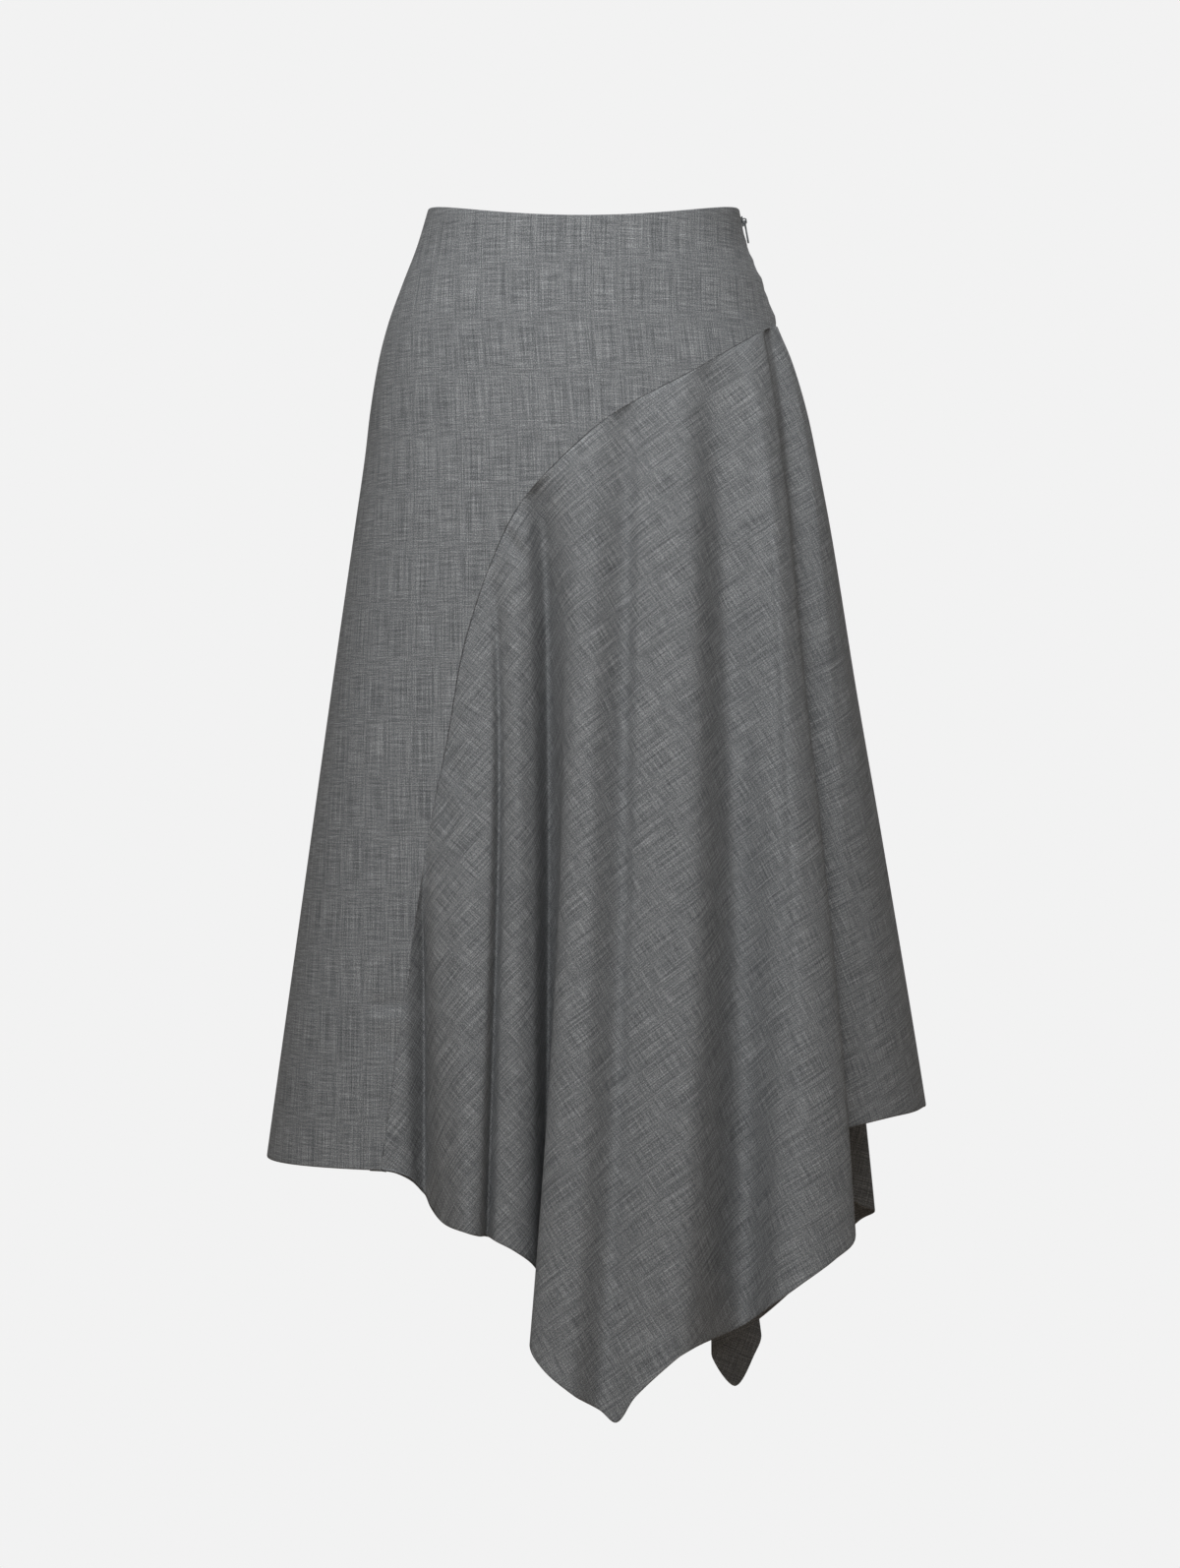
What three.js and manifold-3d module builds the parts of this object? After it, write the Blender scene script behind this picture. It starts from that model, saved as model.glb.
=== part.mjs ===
// An asymmetric midi skirt of grey wool suiting, in the form it has when worn, with nothing inside it.
// A straight-grain body carries a bias-cut drape in front and another behind. Both drapes are sewn to a
// curved seam that runs from the right hip down to the left hem, hang in deep folds from it, and end in
// a corner that points down. An invisible zip closes the right side seam.
//
// Millimetres. The origin is the middle of the waist opening, level with the top of the side seams.
// +Z is up, the front of the skirt looks along -Y, and +X is the side with the zip.
// A "turn" is an angle round the body in degrees: 0 at the zip, 90 at the back, 180 at the other side
// seam and 270 in front. A "drop" is a distance down from the origin.

import * as THREE from 'three';
import Module from 'manifold-3d';
import { mergeVertices } from 'three/addons/utils/BufferGeometryUtils.js';

const wasm = await Module();
wasm.setup();

const WALL = 2;
const SEAM_GAP = 0.3;
const HEM_DROP = 767;
const ZIP_SIDE_DROP = 728;
const SEAM_END = 12;
const FRONT_DIP = 18;
const BACK_DIP = 10;

// Sections of the body: its side edges, its depth in front and behind, and how boxy each side is
// (2 is an ellipse, less is pinched towards the side seam, more is squarer).
const BODY_SECTIONS = [
  { drop: 0, left: -126, right: 127, front: 93, back: 93, boxLeft: 2.05, boxRight: 2.05 },
  { drop: 30, left: -135, right: 133, front: 97, back: 98, boxLeft: 2.05, boxRight: 2.05 },
  { drop: 60, left: -146.5, right: 145, front: 102, back: 106, boxLeft: 2.08, boxRight: 2.05 },
  { drop: 95, left: -159, right: 158, front: 108, back: 115, boxLeft: 2.1, boxRight: 2 },
  { drop: 125, left: -166.5, right: 170.5, front: 113, back: 121, boxLeft: 2.15, boxRight: 2 },
  { drop: 165, left: -173, right: 182.5, front: 119, back: 126, boxLeft: 2.2, boxRight: 1.95 },
  { drop: 200, left: -177, right: 190, front: 124, back: 130, boxLeft: 2.25, boxRight: 1.9 },
  { drop: 260, left: -185.5, right: 201.5, front: 130, back: 134, boxLeft: 2.3, boxRight: 1.88 },
  { drop: 390, left: -204, right: 222.5, front: 138, back: 141, boxLeft: 2.4, boxRight: 1.82 },
  { drop: 520, left: -222, right: 245, front: 145, back: 147, boxLeft: 2.45, boxRight: 1.78 },
  { drop: 765, left: -256, right: 285, front: 158, back: 158, boxLeft: 2.5, boxRight: 1.75 },
  { drop: 1000, left: -288, right: 318, front: 168, back: 168, boxLeft: 2.5, boxRight: 1.75 },
];

// The seam between body and drape, from the right hip to the left hem: how far it has come round from
// the zip, the same in front and behind, and how far down it is.
const DRAPE_SEAM = [
  { round: 0, drop: 94 },
  { round: 20, drop: 100 },
  { round: 40, drop: 115 },
  { round: 59, drop: 138.5 },
  { round: 84, drop: 177 },
  { round: 98, drop: 214 },
  { round: 108, drop: 252 },
  { round: 114.7, drop: 303 },
  { round: 119.4, drop: 362 },
  { round: 121.7, drop: 430 },
  { round: 124.5, drop: 503 },
  { round: 126.8, drop: 600 },
  { round: 129.4, drop: HEM_DROP },
];

// Folds of the front drape, from the left hem round to the zip, without its two corners there. "along"
// is where a crest or valley starts, measured down the seam from the right hip; x, y and drop are
// where it meets the hem. On the way down it stands out by "bulge" and leans towards the zip by "sway"
// degrees at most.
const FRONT_FOLDS = [
  { along: 790, x: -145, y: -135, drop: 769, bulge: 0, sway: 0 },
  { along: 700, x: -130, y: -118, drop: 779, bulge: 0, sway: 0 },
  { along: 630, x: -120, y: -126, drop: 793, bulge: 0, sway: 0 },
  { along: 560, x: -107, y: -150, drop: 807, bulge: 3, sway: 0 },
  { along: 480, x: -89, y: -172, drop: 811, bulge: 4, sway: 2 },
  { along: 392, x: -80, y: -166, drop: 814, bulge: 1, sway: 3 },
  { along: 378, x: -74, y: -144, drop: 817, bulge: -2, sway: 3 },
  { along: 364, x: -67, y: -160, drop: 819, bulge: 1, sway: 3 },
  { along: 342, x: -54, y: -163, drop: 825, bulge: 5, sway: 3 },
  { along: 320, x: -38, y: -150, drop: 838, bulge: 0, sway: 2.5 },
  { along: 302, x: -30, y: -110, drop: 862, bulge: -18, sway: 2.5 },
  { along: 290, x: -24, y: -144, drop: 880, bulge: -9, sway: 3 },
  { along: 280, x: -41, y: -170, drop: 897, bulge: -1, sway: 4 },
  { along: 262, x: -30, y: -187, drop: 914, bulge: 4, sway: 3 },
  { along: 240, x: -8, y: -194, drop: 931, bulge: 4, sway: 1 },
  { along: 206, x: 13, y: -175, drop: 946, bulge: -9, sway: 0 },
  { along: 190, x: 25, y: -179, drop: 955, bulge: 1, sway: -1 },
  { along: 178, x: 40, y: -187, drop: 934, bulge: 5, sway: 0 },
  { along: 156, x: 76, y: -190, drop: 902, bulge: 6, sway: 0 },
  { along: 130, x: 124, y: -122, drop: 890, bulge: -6, sway: 2 },
  { along: 104, x: 149, y: -168, drop: 864, bulge: 1, sway: 2 },
  { along: 84, x: 166, y: -175, drop: 851, bulge: 6, sway: -2 },
  { along: 66, x: 194, y: -162, drop: 833, bulge: 3, sway: -5 },
  { along: 54, x: 212, y: -138, drop: 818, bulge: -1, sway: -6 },
  { along: 46, x: 196, y: -118, drop: 787, bulge: -9, sway: -4 },
  { along: 40, x: 186, y: -104, drop: 758, bulge: -9, sway: -2 },
  { along: 33, x: 199, y: -97, drop: 741, bulge: -1, sway: 0 },
  { along: 27, x: 214, y: -90, drop: 737, bulge: 2, sway: 0 },
  { along: 20, x: 244, y: -66, drop: 732, bulge: 2, sway: 0 },
  { along: 10, x: 267, y: -34, drop: 730, bulge: 0, sway: 0 },
];

// Folds of the back drape, from the zip round to the left hem, in the same columns.
const BACK_FOLDS = [
  { along: 14, x: 266, y: 30, drop: 733, bulge: 0, sway: 0 },
  { along: 26, x: 238, y: 42, drop: 742, bulge: 0, sway: 0 },
  { along: 40, x: 196, y: 50, drop: 772, bulge: -6, sway: 0 },
  { along: 52, x: 228, y: 60, drop: 815, bulge: 0, sway: 0 },
  { along: 62, x: 243, y: 69, drop: 822, bulge: 2, sway: 0 },
  { along: 76, x: 231, y: 81, drop: 831, bulge: 2, sway: 0 },
  { along: 100, x: 182, y: 100, drop: 886, bulge: -10, sway: 0 },
  { along: 122, x: 148, y: 111, drop: 918, bulge: -4, sway: 0 },
  { along: 140, x: 116, y: 120, drop: 942, bulge: -6, sway: 0 },
  { along: 152, x: 110, y: 132, drop: 952, bulge: -4, sway: 0 },
  { along: 166, x: 130, y: 146, drop: 980, bulge: 0, sway: 0 },
  { along: 178, x: 146, y: 152, drop: 955, bulge: 0, sway: 0 },
  { along: 188, x: 152.5, y: 161, drop: 938, bulge: 2, sway: 0 },
  { along: 204, x: 138, y: 173, drop: 930, bulge: 3, sway: 0 },
  { along: 225, x: 105, y: 184, drop: 922, bulge: 3, sway: 0 },
  { along: 255, x: 70, y: 146, drop: 905, bulge: -12, sway: 0 },
  { along: 290, x: 30, y: 188, drop: 885, bulge: 4, sway: 0 },
  { along: 325, x: -5, y: 150, drop: 868, bulge: -12, sway: 0 },
  { along: 370, x: -42, y: 184, drop: 845, bulge: 4, sway: 0 },
  { along: 430, x: -72, y: 146, drop: 825, bulge: -10, sway: 0 },
  { along: 520, x: -104, y: 170, drop: 800, bulge: 3, sway: 0 },
  { along: 640, x: -132, y: 139, drop: 780, bulge: -4, sway: 0 },
  { along: 770, x: -147, y: 136, drop: 772, bulge: 0, sway: 0 },
];

// A fold is at its fullest a quarter of the way down: 1 would be half-way.
const HANG_POWER = 0.5;

// How finely the cloth is divided. Rows lie closer together near the seam that carries a drape, columns
// a little closer near a panel's sides, and no two columns come within CLOSEST_TURN of each other there.
const FOLD_STEPS = 3;
const DRAPE_ROWS = 9;
const ROWS_CLOSE_UP = 1.5;
const BODY_COLUMNS = 15;
const COLUMNS_CLOSE_UP = 0.5;
const CLOSEST_TURN = 2.5;
const TOP_ROWS = 5;
const SEAM_SAMPLES = 400;
const SEAM_MM_PER_TURN = 2;

// The zip: its tape lies inside the side seam, and its slider and pull tab show at the top.
const TAPE_LENGTH = 190;
const TAPE_TOP = 4;
const TAPE_WIDTH = 22;
const TAPE_THICK = 1;
const TAPE_COLUMNS = 4;
const TAPE_ROWS = 12;
const TAPE_CLEARANCE = 1.4;
const TAPE_LEAN = 0.015;
const SLIDER_DROP = 9;
const SLIDER_LENGTH = 8;
const SLIDER_WIDTH = 4.6;
const SLIDER_THICK = 1.2;
const SLIDER_GAP = 0.4;
const BAIL_WIDTH = 1.6;
const BAIL_THICK = 0.9;
const BAIL_REACH = 2;
const BAIL_LENGTH = 5;
const TAB_THICK = 1.2;
const TAB_WIDTH = 5.2;
const TAB_LENGTH = 19;
const TAB_EYE_WIDTH = 2.4;
const TAB_EYE_LENGTH = 3;
const TAB_WAIST = 0.7;
const TAB_SHOULDER = 1.2;
const TAB_NECK = 2.2;
const TAB_CURVE_STEPS = 8;

const wool = new THREE.MeshStandardMaterial({ color: 0x74787b, roughness: 0.9, metalness: 0 });
const tapeCloth = new THREE.MeshStandardMaterial({ color: 0x5c6063, roughness: 0.9, metalness: 0 });
const greyEnamel = new THREE.MeshStandardMaterial({ color: 0x55595c, roughness: 0.4, metalness: 0.4 });

// Smooth curve through a table's column that never overshoots its rows.
function smoothAt(table, key, name, at) {
  let row = 0;
  while (row < table.length - 2 && at > table[row + 1][key]) row += 1;
  const slopeOf = (i) => (table[i + 1][name] - table[i][name]) / (table[i + 1][key] - table[i][key]);
  const tangentAt = (i) => {
    if (i === 0) return slopeOf(0);
    if (i === table.length - 1) return slopeOf(i - 1);
    const before = slopeOf(i - 1);
    const after = slopeOf(i);
    return before * after <= 0 ? 0 : (2 * before * after) / (before + after);
  };
  const from = table[row];
  const to = table[row + 1];
  const span = to[key] - from[key];
  const t = (at - from[key]) / span;
  const t2 = t * t;
  const t3 = t2 * t;
  return (2 * t3 - 3 * t2 + 1) * from[name] + (t3 - 2 * t2 + t) * span * tangentAt(row)
    + (3 * t2 - 2 * t3) * to[name] + (t3 - t2) * span * tangentAt(row + 1);
}

// A point of the worn body's surface, before any fold.
function bodyPoint(turn, drop) {
  const at = (name) => smoothAt(BODY_SECTIONS, 'drop', name, drop);
  const angle = THREE.MathUtils.degToRad(turn);
  const across = Math.cos(angle);
  const left = at('left');
  const right = at('right');
  const box = THREE.MathUtils.lerp(at('boxLeft'), at('boxRight'), (across + 1) / 2);
  const depth = Math.sin(angle) > 0 ? at('back') : -at('front');
  const bulge = Math.max(0, 1 - Math.abs(across) ** box) ** (1 / box);
  return new THREE.Vector3((left + right) / 2 + ((right - left) / 2) * across, depth * bulge, -drop);
}

// The outward direction of the body's surface. At a side seam it points straight to that side, so that
// the front and back walls end face to face.
function bodyNormal(turn, drop) {
  const step = 0.5;
  if (turn < step || turn > 360 - step) return new THREE.Vector3(1, 0, 0);
  if (Math.abs(turn - 180) < step) return new THREE.Vector3(-1, 0, 0);
  const around = bodyPoint(turn + step, drop).sub(bodyPoint(turn - step, drop));
  const down = bodyPoint(turn, drop + step).sub(bodyPoint(turn, drop - step));
  return down.cross(around).normalize();
}

// The turn of the body point nearest to a place in plan, and how far outside the body that place is.
function placeOnBody(x, y, drop, side) {
  const middle = side === 'front' ? 270 : 90;
  const firstStep = 10;
  const lastStep = 0.001;
  const tryCount = 9;
  const gapAt = (turn) => {
    const point = bodyPoint(turn, drop);
    return Math.hypot(x - point.x, y - point.y);
  };
  let turn = middle;
  for (let step = firstStep; step > lastStep; step /= 4) {
    const tries = [];
    for (let i = -tryCount; i <= tryCount; i += 1) {
      tries.push(THREE.MathUtils.clamp(turn + i * step, middle - 90, middle + 90));
    }
    turn = tries.reduce((best, other) => (gapAt(other) < gapAt(best) ? other : best));
  }
  const point = bodyPoint(turn, drop);
  const outward = bodyNormal(turn, drop).setZ(0).normalize();
  return { turn, drop, out: (x - point.x) * outward.x + (y - point.y) * outward.y };
}

// The seam that carries a drape, with its places found by their length down from the right hip.
function makeSeam(side) {
  const turnOf = (round) => (side === 'front' ? 360 - round : round);
  const marks = DRAPE_SEAM.map((row) => new THREE.Vector3(row.round * SEAM_MM_PER_TURN, row.drop, 0));
  const plan = new THREE.CatmullRomCurve3(marks, false, 'centripetal');
  const samples = [];
  let length = 0;
  for (let i = 0; i <= SEAM_SAMPLES; i += 1) {
    const place = plan.getPoint(i / SEAM_SAMPLES);
    const turn = turnOf(place.x / SEAM_MM_PER_TURN);
    const point = bodyPoint(turn, place.y);
    if (i > 0) length += point.distanceTo(samples[i - 1].point);
    samples.push({ along: length, turn, drop: place.y, point });
  }
  const at = (along) => {
    let i = 0;
    while (i < samples.length - 2 && samples[i + 1].along < along) i += 1;
    const t = (along - samples[i].along) / (samples[i + 1].along - samples[i].along);
    return {
      turn: THREE.MathUtils.lerp(samples[i].turn, samples[i + 1].turn, t),
      drop: THREE.MathUtils.lerp(samples[i].drop, samples[i + 1].drop, t),
    };
  };
  return { at, side, length };
}

// The direction across a seam, along the cloth, from the body towards the drape.
function acrossSeam(seam, along) {
  const step = 2;
  const here = seam.at(along);
  const pointAt = (place) => bodyPoint(place.turn, place.drop);
  const upper = seam.at(Math.max(0, along - step));
  const lower = seam.at(along + step);
  const downwards = pointAt(lower).sub(pointAt(upper));
  const forwards = seam.side === 'front' ? downwards.negate() : downwards;
  return forwards.cross(bodyNormal(here.turn, here.drop)).normalize();
}

// A drape's surface: fold runs over the rows of its table and its two corners, down from 0 at the seam
// to 1 at the hem.
function makeDrape(seam, folds) {
  const hemCorner = seam.at(seam.length);
  const zipTurn = seam.at(0).turn;
  const corners = [
    { along: seam.length - SEAM_END, point: bodyPoint(hemCorner.turn, hemCorner.drop), bulge: 0, sway: 0 },
    { along: 0, point: bodyPoint(zipTurn, ZIP_SIDE_DROP), bulge: 0, sway: 0 },
  ];
  if (seam.side === 'back') corners.reverse();
  const inner = folds.map((row) => ({ ...row, point: new THREE.Vector3(row.x, row.y, -row.drop) }));
  const rows = [corners[0], ...inner, corners[1]].map((row, index) => ({ ...row, index }));
  const lastFold = rows.length - 1;
  const hem = new THREE.CatmullRomCurve3(rows.map((row) => row.point), false, 'centripetal');
  const alongAt = (fold) => smoothAt(rows, 'index', 'along', fold);
  const towardsZip = seam.side === 'front' ? 1 : -1;
  const column = (fold) => {
    const end = hem.getPoint(fold / lastFold);
    return {
      start: seam.at(alongAt(fold)),
      end: placeOnBody(end.x, end.y, -end.z, seam.side),
      bulge: smoothAt(rows, 'index', 'bulge', fold),
      sway: smoothAt(rows, 'index', 'sway', fold) * towardsZip,
    };
  };
  const hangAt = (down) => Math.sin(Math.PI * THREE.MathUtils.clamp(down, 0, 1) ** HANG_POWER);
  const placeOf = ({ start, end, sway }, down) => ({
    turn: THREE.MathUtils.lerp(start.turn, end.turn, down) + sway * hangAt(down),
    drop: THREE.MathUtils.lerp(start.drop, end.drop, down),
  });
  const pointOf = (columnHere, down) => {
    const { turn, drop } = placeOf(columnHere, down);
    const outward = bodyNormal(turn, drop).setZ(0).normalize();
    const out = columnHere.end.out * down + columnHere.bulge * hangAt(down);
    return bodyPoint(turn, drop).addScaledVector(outward, out);
  };
  return { column, placeOf, pointOf, alongAt, lastFold };
}

// A closed wall over rows of outer points. The rows follow each other down the skirt, and the points of
// a row run round it anticlockwise as seen from above, each with its outward direction and with its
// place round the row. Rows may differ in how many points they have.
function wallSolid(rows, thickness) {
  const vertices = [];
  const starts = [];
  let count = 0;
  for (const row of rows) {
    starts.push(count);
    count += row.length;
  }
  for (const layer of [0, thickness]) {
    for (const { point, outward } of rows.flat()) {
      vertices.push(...point.clone().addScaledVector(outward, -layer).toArray());
    }
  }
  const triangles = [];
  const wallTriangle = (a, b, c) => triangles.push(a, b, c, a + count, c + count, b + count);
  for (let j = 0; j < rows.length - 1; j += 1) {
    const upper = rows[j];
    const lower = rows[j + 1];
    let i = 0;
    let k = 0;
    while (i < upper.length - 1 || k < lower.length - 1) {
      const lowerIsDone = k === lower.length - 1;
      const upperIsNext = i < upper.length - 1 && (lowerIsDone || upper[i + 1].round <= lower[k + 1].round);
      const corner = upperIsNext ? starts[j] + i + 1 : starts[j + 1] + k + 1;
      wallTriangle(starts[j] + i, starts[j + 1] + k, corner);
      if (upperIsNext) i += 1;
      else k += 1;
    }
  }
  const edge = (a, b) => triangles.push(a, b, b + count, a, b + count, a + count);
  const sideEdge = (a, b) => triangles.push(b, b + count, a + count, b, a + count, a);
  const last = rows.length - 1;
  for (let i = 0; i < rows[0].length - 1; i += 1) edge(i, i + 1);
  for (let i = 0; i < rows[last].length - 1; i += 1) edge(starts[last] + i + 1, starts[last] + i);
  for (let j = 0; j < last; j += 1) {
    sideEdge(starts[j] + rows[j].length - 1, starts[j + 1] + rows[j + 1].length - 1);
    sideEdge(starts[j + 1], starts[j]);
  }
  const geometry = new THREE.BufferGeometry();
  geometry.setAttribute('position', new THREE.Float32BufferAttribute(vertices, 3));
  geometry.setIndex(triangles);
  geometry.computeVertexNormals();
  return geometry;
}

// Front pieces stay in front of the side seams and back pieces behind them, half a gap away.
function keepToSide(point, side) {
  const limit = SEAM_GAP / 2;
  point.y = side === 'front' ? Math.min(point.y, -limit) : Math.max(point.y, limit);
  return point;
}

// How far the top edge hangs below the side seams' tops.
function waistDrop(turn) {
  const angle = THREE.MathUtils.degToRad(turn);
  const dip = Math.sin(angle) > 0 ? BACK_DIP : FRONT_DIP;
  return dip * Math.sin(angle) ** 2;
}

// The places along a seam where both of its pieces have their points, from the right hip down.
function seamStations(drape) {
  const stations = [];
  for (let i = 0; i <= drape.lastFold * FOLD_STEPS; i += 1) {
    stations.push(drape.alongAt(i / FOLD_STEPS));
  }
  return stations.sort((a, b) => a - b);
}

// A body panel: rows from the waist to the hip, then one row for each station of the drape's seam,
// and a last one at the hem. Each row runs from the side seam to the drape's seam, and all of them have
// their points at the same turns on the way.
function bodyPanel(seam, drape) {
  const side = seam.side;
  const zipTurn = seam.at(0).turn;
  const rows = [];
  for (let i = 0; i < TOP_ROWS; i += 1) {
    rows.push({ end: zipTurn, down: i / TOP_ROWS, drop: seam.at(0).drop, shift: null });
  }
  for (const along of seamStations(drape)) {
    const place = seam.at(along);
    rows.push({ end: place.turn, down: 1, drop: place.drop, shift: acrossSeam(seam, along) });
  }
  const corner = seam.at(seam.length);
  rows.push({ ...rows[rows.length - 1], end: corner.turn, drop: corner.drop });
  const turns = [];
  for (let i = 0; i <= BODY_COLUMNS; i += 1) {
    const share = i / BODY_COLUMNS;
    const closer = (1 - Math.cos(Math.PI * share)) / 2;
    const across = THREE.MathUtils.lerp(share, closer, COLUMNS_CLOSE_UP);
    turns.push(THREE.MathUtils.lerp(180, zipTurn, across));
  }
  const reach = (turn) => Math.abs(turn - 180);
  const points = rows.map((row) => {
    const onRow = turns.filter((turn) => reach(turn) < reach(row.end) - CLOSEST_TURN).concat(row.end);
    if (side === 'back') onRow.reverse();
    return onRow.map((turn) => {
      const drop = THREE.MathUtils.lerp(waistDrop(turn), row.drop, row.down);
      const point = bodyPoint(turn, drop);
      if (row.shift && turn === row.end) point.addScaledVector(row.shift, -SEAM_GAP / 2);
      return { point: keepToSide(point, side), outward: bodyNormal(turn, drop), round: turn };
    });
  });
  return wallSolid(points, WALL);
}

// A drape panel, hung from its seam. Its first points take the body's outward direction, so that the
// two walls meet face to face along the seam.
function drapePanel(seam, drape) {
  const step = 0.05;
  const columns = [];
  for (let i = 0; i <= drape.lastFold * FOLD_STEPS; i += 1) {
    const fold = i / FOLD_STEPS;
    columns.push({
      fold,
      along: drape.alongAt(fold),
      here: drape.column(fold),
      before: drape.column(Math.max(0, fold - step)),
      after: drape.column(Math.min(drape.lastFold, fold + step)),
    });
  }
  const pointAt = ({ fold, along, here, before, after }, down) => {
    const onSeam = down === 0 || along >= seam.length - SEAM_END;
    const point = drape.pointOf(here, down);
    if (onSeam) point.addScaledVector(acrossSeam(seam, along), SEAM_GAP / 2);
    const around = drape.pointOf(after, down).sub(drape.pointOf(before, down));
    const below = drape.pointOf(here, Math.min(1, down + step));
    const downwards = below.sub(drape.pointOf(here, Math.max(0, down - step)));
    const place = drape.placeOf(here, down);
    const lieFlat = onSeam || along <= 0;
    const outward = lieFlat ? bodyNormal(place.turn, place.drop) : downwards.cross(around).normalize();
    return { point: keepToSide(point, seam.side), outward, round: fold };
  };
  const rows = [];
  for (let j = 0; j <= DRAPE_ROWS; j += 1) {
    const down = (j / DRAPE_ROWS) ** ROWS_CLOSE_UP;
    rows.push(columns.map((column) => pointAt(column, down)));
  }
  return wallSolid(rows, WALL);
}

// Solids joined into one.
function joined(geometries) {
  const solids = geometries.map((geometry) => {
    const bare = geometry.clone();
    bare.deleteAttribute('normal');
    bare.deleteAttribute('uv');
    const merged = mergeVertices(bare, 1e-4);
    return new wasm.Manifold(new wasm.Mesh({
      numProp: 3,
      vertProperties: new Float32Array(merged.attributes.position.array),
      triVerts: new Uint32Array(merged.index.array),
    }));
  });
  const mesh = solids.reduce((whole, solid) => whole.add(solid)).getMesh();
  const geometry = new THREE.BufferGeometry();
  geometry.setAttribute('position', new THREE.Float32BufferAttribute(mesh.vertProperties, 3));
  geometry.setIndex(Array.from(mesh.triVerts));
  geometry.computeVertexNormals();
  return geometry;
}

// How far to the zip's side the surface lies, at a place behind or in front of the side seam.
function sideReach(y, drop) {
  const at = (name) => smoothAt(BODY_SECTIONS, 'drop', name, drop);
  const depth = y > 0 ? at('back') : at('front');
  const across = (1 - (Math.abs(y) / depth) ** at('boxRight')) ** (1 / at('boxRight'));
  return (at('left') + at('right')) / 2 + ((at('right') - at('left')) / 2) * across;
}

// The zip's tape, a strip just inside the walls. It leans in a little where the drapes do.
function zipTape() {
  const rows = [];
  for (let j = 0; j <= TAPE_ROWS; j += 1) {
    const drop = TAPE_TOP + (TAPE_LENGTH * j) / TAPE_ROWS;
    const lean = TAPE_LEAN * Math.max(0, drop - DRAPE_SEAM[0].drop);
    const row = [];
    for (let i = 0; i <= TAPE_COLUMNS; i += 1) {
      const y = TAPE_WIDTH * (i / TAPE_COLUMNS - 0.5);
      const x = sideReach(y, drop) - WALL - TAPE_CLEARANCE - lean;
      row.push({ point: new THREE.Vector3(x, y, -drop), outward: new THREE.Vector3(1, 0, 0), round: i });
    }
    rows.push(row);
  }
  return wallSolid(rows, TAPE_THICK);
}

// The slider: a base plate over the seam, with an arched bail that holds the pull tab. Its own X points
// away from the cloth and its own Z up.
function slider() {
  const base = new THREE.BoxGeometry(SLIDER_THICK, SLIDER_WIDTH, SLIDER_LENGTH);
  base.translate(SLIDER_THICK / 2, 0, 0);
  const bail = new THREE.Shape();
  const half = BAIL_LENGTH / 2;
  const reach = SLIDER_THICK + BAIL_REACH;
  bail.moveTo(SLIDER_THICK / 2, -half);
  bail.lineTo(reach, -half);
  bail.lineTo(reach + BAIL_THICK, -half + BAIL_THICK);
  bail.lineTo(reach + BAIL_THICK, half - BAIL_THICK);
  bail.lineTo(reach, half);
  bail.lineTo(SLIDER_THICK / 2, half);
  bail.lineTo(SLIDER_THICK / 2, half - BAIL_THICK);
  bail.lineTo(reach, half - BAIL_THICK);
  bail.lineTo(reach, -half + BAIL_THICK);
  bail.lineTo(SLIDER_THICK / 2, -half + BAIL_THICK);
  bail.closePath();
  const arch = new THREE.ExtrudeGeometry(bail, { depth: BAIL_WIDTH, bevelEnabled: false });
  arch.translate(0, 0, -BAIL_WIDTH / 2);
  arch.rotateX(Math.PI / 2);
  return joined([base, arch]);
}

// The pull tab: a teardrop plate that turns about the middle of the bar above its eye, which lies
// inside the bail. Its own origin is on that bar.
function pullTab() {
  const bar = TAB_THICK / 2;
  const half = TAB_WIDTH / 2;
  const waist = TAB_WAIST * half;
  const shoulder = -bar - TAB_SHOULDER * TAB_EYE_LENGTH;
  const neck = -bar - TAB_NECK * TAB_EYE_LENGTH;
  const bend = (shoulder + neck) / 2;
  const foot = bar - TAB_LENGTH + half;
  const outline = new THREE.Shape();
  outline.moveTo(-half, 0);
  outline.lineTo(bar - half, bar);
  outline.lineTo(half - bar, bar);
  outline.lineTo(half, 0);
  outline.lineTo(half, shoulder);
  outline.quadraticCurveTo(waist, bend, waist, neck);
  outline.absarc(0, foot, half, 0, -Math.PI, true);
  outline.lineTo(-waist, neck);
  outline.quadraticCurveTo(-waist, bend, -half, shoulder);
  outline.closePath();
  const eye = new THREE.Path();
  eye.moveTo(-TAB_EYE_WIDTH / 2, -bar);
  eye.lineTo(-TAB_EYE_WIDTH / 2, -bar - TAB_EYE_LENGTH);
  eye.lineTo(TAB_EYE_WIDTH / 2, -bar - TAB_EYE_LENGTH);
  eye.lineTo(TAB_EYE_WIDTH / 2, -bar);
  eye.closePath();
  outline.holes.push(eye);
  const plate = new THREE.ExtrudeGeometry(
    outline, { depth: TAB_THICK, bevelEnabled: false, curveSegments: TAB_CURVE_STEPS });
  plate.translate(0, 0, -TAB_THICK / 2);
  plate.rotateX(Math.PI / 2);
  plate.rotateZ(Math.PI / 2);
  return plate;
}

function named(name, geometry, material) {
  const mesh = new THREE.Mesh(geometry, material);
  mesh.name = name;
  return mesh;
}

const skirt = new THREE.Group();
for (const [side, folds] of [['front', FRONT_FOLDS], ['back', BACK_FOLDS]]) {
  const seam = makeSeam(side);
  const drape = makeDrape(seam, folds);
  skirt.add(named(`${side}_body`, bodyPanel(seam, drape), wool));
  skirt.add(named(`${side}_drape`, drapePanel(seam, drape), wool));
}

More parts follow.
